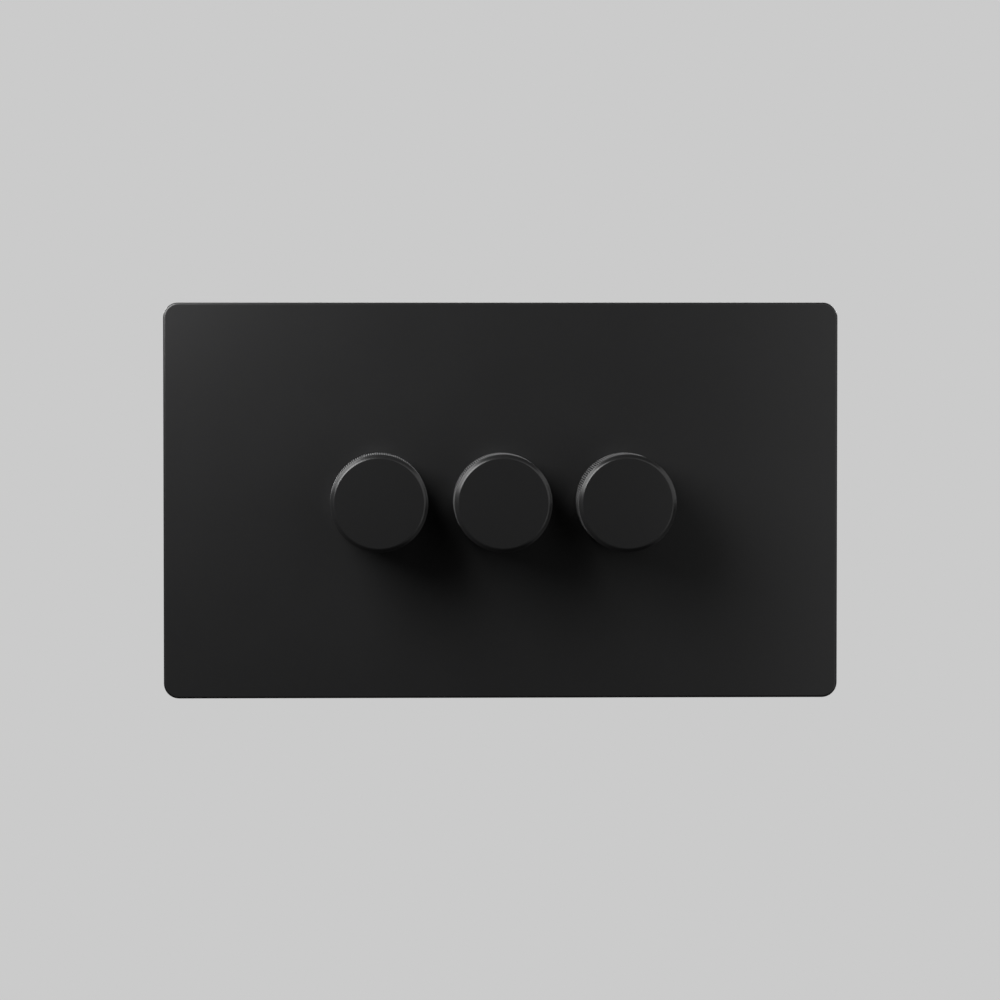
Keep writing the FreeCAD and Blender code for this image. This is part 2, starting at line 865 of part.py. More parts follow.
def control_housing(name, side):
    """The rotary control's housing, with the rotor's cavity open behind."""
    body = moulded_block(
        "control_front",
        "control_depth",
        "control_cavity",
        "control_wall",
        "control_depth - control_wall",
        "control_hole",
    )
    bind(body, Placement__Base__x=gang_x(side))
    return keep(body, f"{name}_control_housing")


def switch_housing(name, side):
    """The push switch's housing, with the slider's cavity open in front."""
    body = moulded_block(
        "control_front + control_depth",
        "switch_depth",
        "switch_cavity",
        "0",
        "switch_depth - control_wall",
        "slider_stem + guide_clearance",
    )
    bind(body, Placement__Base__x=gang_x(side))
    return keep(body, f"{name}_switch_housing")


def wiper_rotor(name, side):
    """The wiper's rotor: a disc on a hub, whose D-shaped bore slides along the spindle."""
    front = "control_front + control_wall + rotor_end_gap"
    body = new_body(gang_x(side), front)
    hub = f"groove_front - rotor_ring_gap - ({front})"
    turned(
        body,
        [
            ("0", "0"),
            ("rotor_hub", "0"),
            ("rotor_hub", "rotor_step"),
            ("rotor_radius", "rotor_step"),
            ("rotor_radius", "rotor_step + rotor_disc"),
            ("rotor_hub", "rotor_step + rotor_disc"),
            ("rotor_hub", hub),
            ("0", hub),
        ],
    )
    bore = d_shape(
        face_sketch(body), "spindle_radius + rotor_clearance", "spindle_flat + rotor_clearance"
    )
    pocket(body, bore, hub)
    return keep(body, f"{name}_wiper_rotor")


def switch_slider(name, side):
    """The push switch's slider: a head that the spindle pushes, and a stem in the guide hole."""
    body = new_body(gang_x(side))
    front = "spindle_rear + slider_gap"
    turned(
        body,
        [
            ("0", front),
            ("slider_radius", front),
            ("slider_radius", f"{front} + slider_head"),
            ("slider_stem", f"{front} + slider_head"),
            ("slider_stem", "slider_reach"),
            ("0", "slider_reach"),
        ],
    )
    return keep(body, f"{name}_switch_slider")


def return_spring(name, side):
    """A compression spring between the slider's head and the switch housing's wall."""
    wire = millimetres("spring_wire")
    start = millimetres("spindle_rear") + millimetres("slider_gap") + millimetres("slider_head")
    wall = millimetres("control_front") + millimetres("control_depth")
    wall += millimetres("switch_depth") - millimetres("control_wall")
    gap = millimetres("spring_gap")
    length = wall - start - wire - 2 * gap
    radius, turns = millimetres("spring_radius"), millimetres("spring_turns")
    helix = Part.makeHelix(length / turns, length, radius)
    corners = []
    for i in range(SPRING_WIRE_SIDES + 1):
        angle = 2 * math.pi * i / SPRING_WIRE_SIDES
        corners.append(Vector(radius + wire / 2 * math.cos(angle), 0, wire / 2 * math.sin(angle)))
    section = Part.makePolygon(corners)
    coil = Part.Wire(helix.Edges).makePipeShell([section], True, True)
    coil.rotate(Vector(), Vector(1, 0, 0), -90)
    spring = doc.addObject("Part::Feature", "Spring")
    spring.Shape = coil
    place(spring, gang_x(side), str(start + wire / 2 + gap))
    return keep(spring, f"{name}_return_spring")


def choke_core(name, side):
    """The ferrite ring of the suppression choke."""
    ring = rod("choke_radius", "choke_depth", gang_x(side), "choke_front", "choke_z")
    hole = rod("choke_hole", "choke_depth", gang_x(side), "choke_front", "choke_z")
    return keep(cut(ring, hole), f"{name}_choke_core")


def choke_winding(name, side):
    """The choke's copper turns, each a closed loop of wire about the ring's section."""
    wire, slack = millimetres("choke_wire"), millimetres("choke_slack")
    inner, outer = millimetres("choke_hole"), millimetres("choke_radius")
    depth, off = millimetres("choke_depth"), wire + slack
    loop = rounded_loop(inner - off, outer + off, -off, depth + off, wire * 1.2)
    section = Part.Wire(Part.makeCircle(wire, Vector(inner + 1, -off, 0), Vector(1, 0, 0)))
    turn = loop.makePipeShell([section], True, True)
    turns = []
    for i in range(CHOKE_TURNS):
        copy = turn.copy()
        copy.rotate(Vector(), Vector(0, 1, 0), 360 / (CHOKE_TURNS + CHOKE_TURNS_LEFT_OPEN) * (i + 1))
        turns.append(copy)
    winding = doc.addObject("Part::Feature", "Winding")
    winding.Shape = Part.makeCompound(turns)
    place(winding, gang_x(side), "choke_front", "choke_z")
    return keep(winding, f"{name}_choke_winding")


def rounded_loop(low_x, high_x, low_y, high_y, bend):
    """A rounded rectangle in X and Y, as one closed wire that starts on its low side."""
    corners = [(low_x, low_y), (high_x, low_y), (high_x, high_y), (low_x, high_y)]
    edges = []
    for i, (x, y) in enumerate(corners):
        before, after = corners[i - 1], corners[(i + 1) % 4]
        corner = Vector(x, y, 0)
        back = (Vector(*before, 0) - corner).normalize() * bend
        on = (Vector(*after, 0) - corner).normalize() * bend
        middle = corner + (back + on) * (1 - 1 / math.sqrt(2))
        edges.append(Part.Arc(corner + back, middle, corner + on).toShape())
        far = Vector(*after, 0)
        stop = far - (far - corner).normalize() * bend
        edges.append(Part.LineSegment(corner + on, stop).toShape())
    return Part.Wire(edges)


def transistor(name, side):
    """The power transistor, clamped to the heat sink, with its legs in the circuit board."""
    x, front = f"{gang_x(side)} + transistor_x", "sink_thickness + transistor_gap"
    low, top = "-1 * transistor_low", "transistor_length - transistor_low"
    moulding = box(
        "transistor_width",
        "transistor_depth - transistor_tab",
        "transistor_length",
        x,
        f"{front} + transistor_tab",
        f"({low} + {top}) / 2",
    )
    tab_length = "transistor_length + transistor_tab_length"
    tab = box("transistor_width", "transistor_tab", tab_length, x, front, f"{low} + ({tab_length}) / 2")
    pieces = [moulding, tab]
    leg, drop, bend = "transistor_leg", "transistor_leg_drop", f"{front} + transistor_leg_depth"
    for across in TERMINALS:
        leg_x = f"{x} + {across} * transistor_leg_pitch"
        pieces.append(box(leg, leg, drop, leg_x, bend, f"{top} + {drop} / 2"))
        reach, leg_z = f"board_front - ({bend})", f"{top} + {drop} - {leg} / 2"
        pieces.append(box(leg, reach, leg, leg_x, bend, leg_z))
    return keep(fuse(*pieces), f"{name}_transistor")


def capacitor(side):
    body = new_body(gang_x(side), "board_front - capacitor_depth", "-1 * capacitor_z")
    pad(
        body,
        rectangle(face_sketch(body), "capacitor_width", "capacitor_height"),
        "capacitor_depth",
    )
    round_edges(body, runs_along_y, "capacitor_edge")
    return body


def terminal_clamp(side, across):
    """A brass cage: the wire goes up through its window, and the screw comes in from behind."""
    x, z = f"{gang_x(side)} + {across} * terminal_pitch", "-1 * terminal_z"
    cage = box("terminal_width", "terminal_depth", "terminal_height", x, "terminal_front", z)
    inside = "terminal_front + terminal_lip"
    window = box("terminal_window", "terminal_window", "terminal_height", x, inside, z)
    radius = "terminal_screw_radius + terminal_screw_fit"
    tapped = rod(radius, "terminal_depth - terminal_lip", x, inside, z)
    return cut(cage, window, tapped)


def terminal_screw(side, across):
    """A slotted cheese-head screw in a terminal's cage."""
    seat = "terminal_front + terminal_depth"
    body = new_body(f"{gang_x(side)} + {across} * terminal_pitch", seat, "-1 * terminal_z")
    tip = "terminal_lip + terminal_window + terminal_screw_short - terminal_depth"
    turned(
        body,
        [
            ("0", "terminal_screw_head_height"),
            ("terminal_screw_head", "terminal_screw_head_height"),
            ("terminal_screw_head", "0"),
            ("terminal_screw_radius", "0"),
            ("terminal_screw_radius", tip),
            ("0", tip),
        ],
    )
    slot = rectangle(
        face_sketch(body, "terminal_screw_head_height"),
        "3 * terminal_screw_head",
        "terminal_screw_slot",
    )
    pocket(body, slot, "terminal_screw_head_height / 2", False)
    return body


# ---------------------------------------------------------------- earth terminal


def earth_terminal():
    """A brass block behind the frame, with an upright hole for the earth wire."""
    block = box("earth_width", "earth_depth", "earth_width", "earth_x", "0", "earth_z")
    wire = upright(
        "earth_wire", "earth_width", "earth_x", "earth_wire_depth", "earth_z - earth_width / 2"
    )
    tapped = rod(
        "earth_screw_radius + earth_screw_fit",
        "earth_depth",
        "earth_x",
        "earth_wire_depth",
        "earth_z",
    )
    stud = rod("earth_hole", "frame_thickness", "earth_x", "-1 * frame_thickness", "earth_z")
    return keep(fuse(cut(block, wire, tapped), stud), "earth_terminal")


def earth_screw():
    """The slotted screw that clamps the earth wire."""
    body = new_body("earth_x", "earth_depth", "earth_z")
    tip = "earth_wire_depth + earth_wire + earth_screw_short - earth_depth"
    turned(
        body,
        [
            ("0", "earth_screw_head_height"),
            ("earth_screw_head", "earth_screw_head_height"),
            ("earth_screw_head", "0"),
            ("earth_screw_radius", "0"),
            ("earth_screw_radius", tip),
            ("0", tip),
        ],
    )
    slot = rectangle(
        face_sketch(body, "earth_screw_head_height"), "3 * earth_screw_head", "earth_screw_slot"
    )
    pocket(body, slot, "earth_screw_head_height / 2", False)
    return keep(body, "earth_screw")


# ---------------------------------------------------------------- assembly


def check():
    doc.recompute()
    bad = [o.Label for o in doc.Objects if {"Invalid", "Error"} & set(o.State)]
    if bad:
        raise RuntimeError(f"these objects failed: {bad}")
    for part in parts:
        shape = part.Shape
        if shape.isNull() or not shape.isValid() or not shape.Solids:
            raise RuntimeError(f"{part.Label} has no valid solid")


def export():
    os.makedirs("parts", exist_ok=True)
    for old in os.listdir("parts"):
        os.remove(os.path.join("parts", old))
    for part in parts:
        part.Shape.exportStep(os.path.join("parts", f"{part.Label}.step"))
        print(f"{part.Label}: {len(part.Shape.Solids)} solids, {part.Shape.Volume:.1f} mm3")


def build():
    make_sheet()
    front_plate()
    mounting_frame()
    group("plate_clips", [plate_clip(side, level) for side in HANDS for level in HANDS])
    group("box_screws", [box_screw(side) for side in HANDS])
    group("bush_nuts", [bush_nut(side) for side in GANGS.values()])
    group("lock_washers", [lock_washer(side) for side in GANGS.values()])
    for name, side in GANGS.items():
        for make in (
            knob,
            set_screw,
            spindle,
            retaining_ring,
            bush,
            heat_sink,
            casing,
            circuit_board,
            control_housing,
            wiper_rotor,
            switch_housing,
            switch_slider,
            return_spring,
            choke_core,
            choke_winding,
            transistor,
        ):
            make(name, side)
    sides = list(GANGS.values())
    group("casing_screws", [casing_screw(side, hand) for side in sides for hand in HANDS])
    group("capacitors", [capacitor(side) for side in sides])
    group(
        "terminal_clamps",
        [terminal_clamp(side, across) for side in sides for across in TERMINALS],
    )
    group(
        "terminal_screws",
        [terminal_screw(side, across) for side in sides for across in TERMINALS],
    )
    earth_terminal()
    earth_screw()
    check()
    export()


build()
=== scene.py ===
import json
import math

import bmesh
import bpy
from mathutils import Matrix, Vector


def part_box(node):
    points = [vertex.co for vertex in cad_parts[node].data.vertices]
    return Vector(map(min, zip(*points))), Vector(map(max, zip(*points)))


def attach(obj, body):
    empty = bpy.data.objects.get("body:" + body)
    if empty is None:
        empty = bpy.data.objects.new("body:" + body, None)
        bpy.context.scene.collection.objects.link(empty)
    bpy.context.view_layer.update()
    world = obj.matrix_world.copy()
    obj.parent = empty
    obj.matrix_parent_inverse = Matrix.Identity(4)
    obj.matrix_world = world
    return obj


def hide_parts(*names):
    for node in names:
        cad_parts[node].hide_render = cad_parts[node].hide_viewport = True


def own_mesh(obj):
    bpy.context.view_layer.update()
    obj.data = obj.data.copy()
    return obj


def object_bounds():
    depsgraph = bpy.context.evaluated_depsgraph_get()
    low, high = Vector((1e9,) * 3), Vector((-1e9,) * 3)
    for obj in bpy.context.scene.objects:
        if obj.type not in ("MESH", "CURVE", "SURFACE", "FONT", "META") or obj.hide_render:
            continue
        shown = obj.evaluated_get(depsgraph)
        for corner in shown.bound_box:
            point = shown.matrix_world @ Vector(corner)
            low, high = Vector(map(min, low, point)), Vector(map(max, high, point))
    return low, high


# A matt black screwless wall plate with three knurled push-and-turn dimmer knobs, and their modules
# behind it. Metres. X runs to the right as seen from the room, Y into the wall and Z up, with Y = 0 on
# the wall's surface.

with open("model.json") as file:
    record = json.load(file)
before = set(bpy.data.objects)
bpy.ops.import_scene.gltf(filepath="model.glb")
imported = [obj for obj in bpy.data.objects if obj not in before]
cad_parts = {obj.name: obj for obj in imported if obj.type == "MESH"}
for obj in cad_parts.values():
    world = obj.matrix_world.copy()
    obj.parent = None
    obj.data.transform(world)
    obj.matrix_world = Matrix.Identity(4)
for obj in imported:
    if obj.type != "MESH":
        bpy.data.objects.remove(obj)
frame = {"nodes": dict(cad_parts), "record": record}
LOW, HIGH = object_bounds()
GANGS = ("left", "centre", "right")
PLATE_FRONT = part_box("front_plate")[0].y
KNOB_LOW, KNOB_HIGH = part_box("centre_knob")
KNOB_RADIUS = (KNOB_HIGH.x - KNOB_LOW.x) / 2

# The knobs' diamond knurl: diamonds round the barrel, its lines' tilt from the axis, its depth, the share
# of a diamond's half width that a crest's flat takes, how much lighter the coating is made on the crests
# (partly wear, partly a painted sheen for light on the knurl and the bevel's outer edge), and the smooth
# collar between the bevel and the first diamonds.
KNURLS = 67
KNURL_TILT = math.radians(30)
KNURL_DEPTH = 0.00034
CREST_SHARE = 0.08
CREST_WEAR_AND_SHEEN = 20.0
COLLAR = 0.00025
# The bevel round a knob's face steepens outwards between the two slopes and ends in a flatter rim.
BEVEL_WIDTH = 0.0009
BEVEL_RIM = 0.0003
BEVEL_SLOPES = (0.3, 1.2)
BEVEL_RIM_SLOPE = 0.8
BEVEL_DEPTH = (BEVEL_WIDTH - BEVEL_RIM) * sum(BEVEL_SLOPES) / 2 + BEVEL_RIM * BEVEL_RIM_SLOPE
BEVEL_ROUNDING = 0.0002
BARREL_ROUNDING = 0.0001
# The knob's rear: its recess round the bush and its D-shaped bore, with the set screw's hole below.
REAR_CHAMFER = 0.00022
RECESS_RADIUS = 0.0065
RECESS_DEPTH = 0.003
RECESS_CHAMFER = 0.00015
BORE_RADIUS = 0.00302
BORE_FLAT = 0.00152
BORE_DEPTH = 0.0138
SET_SCREW_RADIUS = 0.0015
SET_SCREW_FROM_REAR = 0.007
SET_SCREW_HOLE = (-1.1 * KNOB_RADIUS, -0.8 * BORE_FLAT)
# Angles over which an edge of a knob, spring or screw is shown sharp.
KNOB_SHARP = 20
SPRING_SHARP = 40
SCREW_SHARP = 30
# The return springs: the end coils lie flat because the rise swings by this share of the length.
SPRING_WIRE_RADIUS = 0.000225
SPRING_TURNS = 3.6
SPRING_SWING = 0.13
# The box screws: pan heads, and a thread that starts behind the neck and ends in a point. The crown gives
# the head's radius and depth as shares, and a thread's flats take a share of half its pitch.
SCREW_PITCH = 0.0006
SCREW_GROOVE = 0.00032
SCREW_NECK_RADIUS = 0.0015
SCREW_RADIUS = 0.00175
SCREW_HEAD_HEIGHT = 0.0009
SCREW_SLOT = 0.0008
SCREW_SLOT_DEPTH = 0.55 * SCREW_HEAD_HEIGHT
SCREW_HEAD_EDGE = 0.00008
SCREW_HEAD_CROWN = ((0.80, 0.0), (0.89, 0.08), (0.96, 0.25), (1.0, 0.5))
SCREW_THREAD_START = 0.0003
SCREW_THREAD_ENTRY = 0.8
SCREW_POINT = 0.0006
THREAD_FLAT = 0.1
# The camera looks at the plate's front from a little to the left and above.
CAMERA_AZIMUTH = math.radians(-1.8)
CAMERA_ELEVATION = math.radians(2.1)
CAMERA_DISTANCE = 1.1
CAMERA_AIM = Vector((-0.00022, PLATE_FRONT, 0.0001))
CAMERA_SENSOR = 36
VIEW_WIDTH = 0.21728
# The floor lies well below the plate, which hangs on a wall.
FLOOR_DROP = 0.207
FLOOR_REACH = 0.9
# Soft lights, all facing the origin: name, place, width, height and watts. The first five light the front.
SOFTBOXES = (
    ("key", (-0.375, -0.435, 0.352), 0.295, 0.439, 2.717),
    ("fill", (0.196, -0.235, 0.074), 0.27, 0.473, 0.281),
    ("rim", (-0.109, -0.063, 0.087), 0.106, 0.114, 0.164),
    ("low", (0.4, -0.2, -0.3), 0.4, 0.4, 0.12),
    ("side", (0.36, -0.06, 0.13), 0.25, 0.3, 0.2),
    ("rear_left", (-0.84, 1.05, 0.49), 0.5, 0.5, 9),
    ("rear_right", (0.84, 1.05, 0.49), 0.5, 0.5, 9),
    ("rear_top", (0.0, 0.98, 0.98), 0.6, 0.6, 5),
)
BACKDROP_GREY = 0.597
AMBIENT_GREY = 0.002
# The coatings: roughness and its spread, the grain's height, and the pitch of the faces' turning marks.
COAT_ROUGHNESS = 0.283
COAT_ROUGHNESS_RANGE = (0.275, 0.291)
COAT_GRAIN = 0.000001
FACING_RING_PITCH = 0.00021
# How near an edge most materials brighten: painted edge highlight, partly edge wear too.
EDGE_WIDTH = 0.0003
# The wide and the narrow range of a noise texture's values that fill a whole blend.
NOISE_RANGE = (0.3, 0.7)
INNER_NOISE_RANGE = (0.35, 0.65)


# ---------------------------------------------------------------- materials


class Nodes:
    """Short calls that add nodes to one material and link them."""

    def __init__(self, name, base, roughness, metallic=0.0, specular=0.5):
        self.material = bpy.data.materials.new(name)
        self.material.use_nodes = True
        self.tree = self.material.node_tree
        self.shader = self.tree.nodes["Principled BSDF"]
        self.shader.inputs["Base Color"].default_value = (*base, 1)
        self.shader.inputs["Roughness"].default_value = roughness
        self.shader.inputs["Metallic"].default_value = metallic
        self.shader.inputs["Specular IOR Level"].default_value = specular
        self.place = self.node("ShaderNodeTexCoord").outputs["Object"]

    def node(self, kind, **settings):
        made = self.tree.nodes.new(kind)
        for key, value in settings.items():
            setattr(made, key, value)
        return made

    def link(self, source, target):
        self.tree.links.new(source, target)

    def feed(self, socket, value):
        if isinstance(value, bpy.types.NodeSocket):
            self.link(value, socket)
        else:
            socket.default_value = value

    def math(self, operation, *values):
        made = self.node("ShaderNodeMath", operation=operation)
        for socket, value in zip(made.inputs, values):
            self.feed(socket, value)
        return made.outputs[0]

    def stretched(self, scale):
        mapping = self.node("ShaderNodeMapping")
        mapping.inputs["Scale"].default_value = scale
        self.link(self.place, mapping.inputs["Vector"])
        return mapping.outputs[0]

    def noise(self, scale, detail=2.0, roughness=0.5, stretch=(1, 1, 1)):
        made = self.node("ShaderNodeTexNoise")
        made.inputs["Scale"].default_value = scale
        made.inputs["Detail"].default_value = detail
        made.inputs["Roughness"].default_value = roughness
        self.link(self.stretched(stretch), made.inputs["Vector"])
        return made.outputs["Fac"]

    def cells(self, scale, feature="F1", stretch=(1, 1, 1)):
        made = self.node("ShaderNodeTexVoronoi", feature=feature)
        made.inputs["Scale"].default_value = scale
        self.link(self.stretched(stretch), made.inputs["Vector"])
        return made.outputs["Distance"]

    def remap(self, value, low, high, to_low=0.0, to_high=1.0):
        made = self.node("ShaderNodeMapRange")
        for key, number in zip(
            ("From Min", "From Max", "To Min", "To Max"), (low, high, to_low, to_high)
        ):
            made.inputs[key].default_value = number
        self.link(value, made.inputs["Value"])
        return made.outputs["Result"]

    def blend(self, factor, first, second):
        made = self.node("ShaderNodeMix", data_type="RGBA")
        self.link(factor, made.inputs["Factor"])
        self.feed(made.inputs["A"], first)
        self.feed(made.inputs["B"], second)
        return made.outputs["Result"]

    def colour(self, value):
        self.link(value, self.shader.inputs["Base Color"])

    def roughness(self, value):
        self.link(value, self.shader.inputs["Roughness"])

    def bump(self, height, distance, strength=1.0):
        made = self.node("ShaderNodeBump")
        made.inputs["Strength"].default_value = strength
        made.inputs["Distance"].default_value = distance
        self.link(height, made.inputs["Height"])
        self.link(made.outputs[0], self.shader.inputs["Normal"])

    def edges(self, radius):
        """0 on a flat surface, up to 1 where it turns within that distance."""
        rounded = self.node("ShaderNodeBevel", samples=4)
        rounded.inputs["Radius"].default_value = radius
        geometry = self.node("ShaderNodeNewGeometry")
        likeness = self.node("ShaderNodeVectorMath", operation="DOT_PRODUCT")
        self.link(rounded.outputs[0], likeness.inputs[0])
        self.link(geometry.outputs["Normal"], likeness.inputs[1])
        return self.remap(likeness.outputs["Value"], 0.99, 0.75)


def shade(colour, factor):
    return tuple(min(1.0, channel * factor) for channel in colour) + (1,)


def powder_coat(name, base):
    """A satin black coating with a fine orange peel and faint cloudiness."""
    made = Nodes(name, base, COAT_ROUGHNESS)
    cloud = made.noise(55, 3)
    grain = made.noise(2600, 2)
    tone = made.math("ADD", made.math("MULTIPLY", cloud, 0.5), made.math("MULTIPLY", grain, 0.5))
    body = made.blend(made.remap(tone, *INNER_NOISE_RANGE), shade(base, 0.95), shade(base, 1.05))
    # Painted highlight and edge wear: the coating is lighter along its edges.
    made.colour(made.blend(made.edges(EDGE_WIDTH), body, shade(base, 1.35)))
    made.roughness(made.remap(made.noise(900, 3), *NOISE_RANGE, *COAT_ROUGHNESS_RANGE))
    made.bump(grain, COAT_GRAIN, 0.5)
    return made.material


def knurled_coat(name, base, radius):
    """The knobs' coating: lighter on the knurl's crests, partly wear and partly a painted sheen where
    light falls on the knurl, with painted shade in its pits and faint facing marks in front.
    """
    made = Nodes(name, base, COAT_ROUGHNESS)
    split = made.node("ShaderNodeSeparateXYZ")
    made.link(made.place, split.inputs[0])
    across, inward, up = split.outputs
    squares = made.math("ADD", made.math("MULTIPLY", across, across), made.math("MULTIPLY", up, up))
    distance = made.math("SQRT", squares)
    crest = made.remap(distance, radius - KNURL_DEPTH * 0.33, radius - KNURL_DEPTH * 0.05)
    knurl_start = KNOB_LOW.y + BEVEL_DEPTH + COLLAR
    knurled = made.remap(inward, knurl_start - COLLAR / 4, knurl_start)
    pit = made.remap(distance, radius - KNURL_DEPTH * 0.4, radius - KNURL_DEPTH)
    beyond_face = made.remap(distance, radius - BEVEL_WIDTH, radius - BEVEL_WIDTH * 0.9)
    crest = made.math("MULTIPLY", crest, knurled)
    # Painted sheen, partly wear: the crests are far lighter, for light on the knurl and the bevel's rim.
    crest_wear_and_sheen = made.math("MULTIPLY", crest, made.remap(made.noise(700, 3), *INNER_NOISE_RANGE, 0.6, 1.0))
    grain = made.noise(2600, 2)
    body = made.blend(made.remap(grain, *INNER_NOISE_RANGE), shade(base, 0.95), shade(base, 1.05))
    # Painted shade: the coating is darker down in the knurl's pits.
    shaded_pits = made.blend(made.math("MULTIPLY", pit, 0.6), body, shade(base, 0.7))
    made.colour(made.blend(made.math("MULTIPLY", crest_wear_and_sheen, 0.9), shaded_pits, shade(base, CREST_WEAR_AND_SHEEN)))
    made.roughness(made.remap(made.noise(900, 3), *NOISE_RANGE, *COAT_ROUGHNESS_RANGE))
    rings = made.math("SINE", made.math("MULTIPLY", distance, 2 * math.pi / FACING_RING_PITCH))
    marks = made.math("MULTIPLY", rings, made.math("SUBTRACT", 1.0, beyond_face))
    relief = made.math("ADD", made.math("MULTIPLY", marks, 0.15), grain)
    made.bump(relief, COAT_GRAIN, 0.5)
    return made.material


def sheet_metal(name, base, rough, stretch=(1, 1, 1), edge=1.25):
    """Plated or rolled metal: fine lines along one direction, patches of tone, and edges made lighter
    as a painted highlight, partly edge wear too.
    """
    made = Nodes(name, base, rough, 1.0)
    lines = made.noise(2200, 3, 0.6, stretch)
    patches = made.noise(140, 4, 0.6)
    body = made.blend(made.remap(patches, *NOISE_RANGE), shade(base, 0.93), shade(base, 1.04))
    lined = made.blend(made.remap(lines, 0.4, 0.7), body, shade(base, 0.95))
    # Painted highlight and edge wear: lighter along the edges.
    made.colour(made.blend(made.edges(EDGE_WIDTH), lined, shade(base, edge)))
    made.roughness(made.remap(lines, *NOISE_RANGE, rough - 0.05, rough + 0.06))
    made.bump(lines, 0.000002, 0.5)
    return made.material


def turned_metal(name, base, rough):
    """Turned parts: fine rings square to the axis, which runs into the wall."""
    return sheet_metal(name, base, rough, (0.05, 9, 0.05), 1.2)


def black_oxide(name, base):
    made = Nodes(name, base, 0.4, 1.0)
    patches = made.noise(1500, 3)
    body = made.blend(made.remap(patches, *NOISE_RANGE), shade(base, 0.7), shade(base, 1.3))
    # Painted highlight and edge wear: much lighter along the edges.
    made.colour(made.blend(made.edges(0.0002), body, shade(base, 3.0)))
    made.roughness(made.remap(patches, *NOISE_RANGE, 0.33, 0.5))
    made.bump(patches, 0.000004, 0.4)
    return made.material


def moulding(name, base, rough, grain_scale, grain_height, edge_highlight_and_wear=1.25):
    """Moulded plastic with a spark-eroded grain and faint flow marks."""
    made = Nodes(name, base, rough)
    grain = made.cells(grain_scale, "SMOOTH_F1")
    flow = made.noise(120, 4, 0.6, (1, 1, 0.3))
    body = made.blend(made.remap(flow, *NOISE_RANGE), shade(base, 0.9), shade(base, 1.1))
    # Painted highlight and edge wear: lighter along the edges.
    made.colour(made.blend(made.edges(EDGE_WIDTH), body, shade(base, edge_highlight_and_wear)))
    made.roughness(made.remap(flow, *NOISE_RANGE, rough - 0.05, rough + 0.07))
    made.bump(grain, grain_height, 0.5)
    return made.material


def laminate(name, base):
    """Green coated glass-fibre board: its weave shows faintly through the lacquer."""
    made = Nodes(name, base, 0.35)
    weave = []
    for axis in ("X", "Z"):
        wave = made.node("ShaderNodeTexWave", bands_direction=axis)
        wave.inputs["Scale"].default_value = 600
        wave.inputs["Distortion"].default_value = 1.0
        made.link(made.place, wave.inputs["Vector"])
        weave.append(wave.outputs["Fac"])
    crossed = made.math("MULTIPLY", *weave)
    patches = made.noise(160, 3)
    body = made.blend(made.remap(patches, *NOISE_RANGE), shade(base, 0.85), shade(base, 1.1))
    made.colour(made.blend(made.math("MULTIPLY", crossed, 0.5), body, shade(base, 1.35)))
    made.roughness(made.remap(crossed, 0.0, 1.0, 0.3, 0.42))
    made.bump(crossed, 0.00001, 0.3)
    return made.material


def speckled(name, base, speck, rough, scale):
    """Pressed powder or epoxy: a fine speckle of a second tone."""
    made = Nodes(name, base, rough)
    specks = made.cells(scale)
    patches = made.noise(300, 3)
    body = made.blend(made.remap(patches, *NOISE_RANGE), shade(base, 0.85), shade(base, 1.12))
    made.colour(made.blend(made.remap(specks, 0.25, 0.1, 0.0, 0.7), body, (*speck, 1)))
    made.roughness(made.remap(patches, *NOISE_RANGE, rough - 0.06, rough + 0.08))
    made.bump(specks, 0.00001, 0.3)
    return made.material


def enamelled_wire(name, base):
    made = Nodes(name, base, 0.25, 1.0)
    made.shader.inputs["Coat Weight"].default_value = 0.6
    made.shader.inputs["Coat Roughness"].default_value = 0.12
    patches = made.noise(600, 3)
    made.colour(made.blend(made.remap(patches, *NOISE_RANGE), shade(base, 0.8), shade(base, 1.12)))
    made.roughness(made.remap(patches, *NOISE_RANGE, 0.2, 0.34))
    made.bump(patches, 0.000004, 0.4)
    return made.material


def pale_floor(name):
    made = Nodes(name, (0.5, 0.5, 0.49), 0.8)
    patches = made.noise(4, 3)
    made.colour(made.blend(patches, (0.48, 0.48, 0.47, 1), (0.52, 0.52, 0.51, 1)))
    made.roughness(made.remap(patches, *NOISE_RANGE, 0.75, 0.85))
    return made.material


MATERIALS = {
    "plate_coat": powder_coat("plate_coat", (0.0192, 0.0192, 0.0195)),
    "knob_coat": knurled_coat("knob_coat", (0.0204, 0.0204, 0.0207), KNOB_RADIUS),
    "zinc_steel": sheet_metal("zinc_steel", (0.62, 0.63, 0.65), 0.38, (0.08, 1, 1)),
    "spring_steel": sheet_metal("spring_steel", (0.48, 0.47, 0.46), 0.28, (1, 1, 0.1)),
    "plated_screw": turned_metal("plated_screw", (0.66, 0.66, 0.64), 0.28),
    "black_steel": black_oxide("black_steel", (0.05, 0.05, 0.05)),
    "nickel_brass": turned_metal("nickel_brass", (0.70, 0.68, 0.63), 0.2),
    "aluminium_sheet": sheet_metal("aluminium_sheet", (0.72, 0.73, 0.74), 0.36, (1, 1, 0.08)),
    "casing_plastic": moulding("casing_plastic", (0.04, 0.04, 0.042), 0.52, 3500, 0.00003),
    "board_laminate": laminate("board_laminate", (0.05, 0.24, 0.10)),
    "control_plastic": moulding("control_plastic", (0.10, 0.10, 0.11), 0.48, 5000, 0.00002),
    "white_plastic": moulding("white_plastic", (0.80, 0.78, 0.72), 0.42, 6000, 0.00001, 1.1),
    "ferrite": speckled("ferrite", (0.09, 0.085, 0.085), (0.2, 0.19, 0.19), 0.6, 5000),
    "copper_wire": enamelled_wire("copper_wire", (0.72, 0.34, 0.16)),
    "transistor_case": speckled("transistor_case", (0.05, 0.05, 0.05), (0.1, 0.1, 0.1), 0.5, 7000),
    "capacitor_case": moulding("capacitor_case", (0.72, 0.52, 0.10), 0.3, 3000, 0.00001, 1.15),
    "brass": turned_metal("brass", (0.78, 0.58, 0.28), 0.3),
}

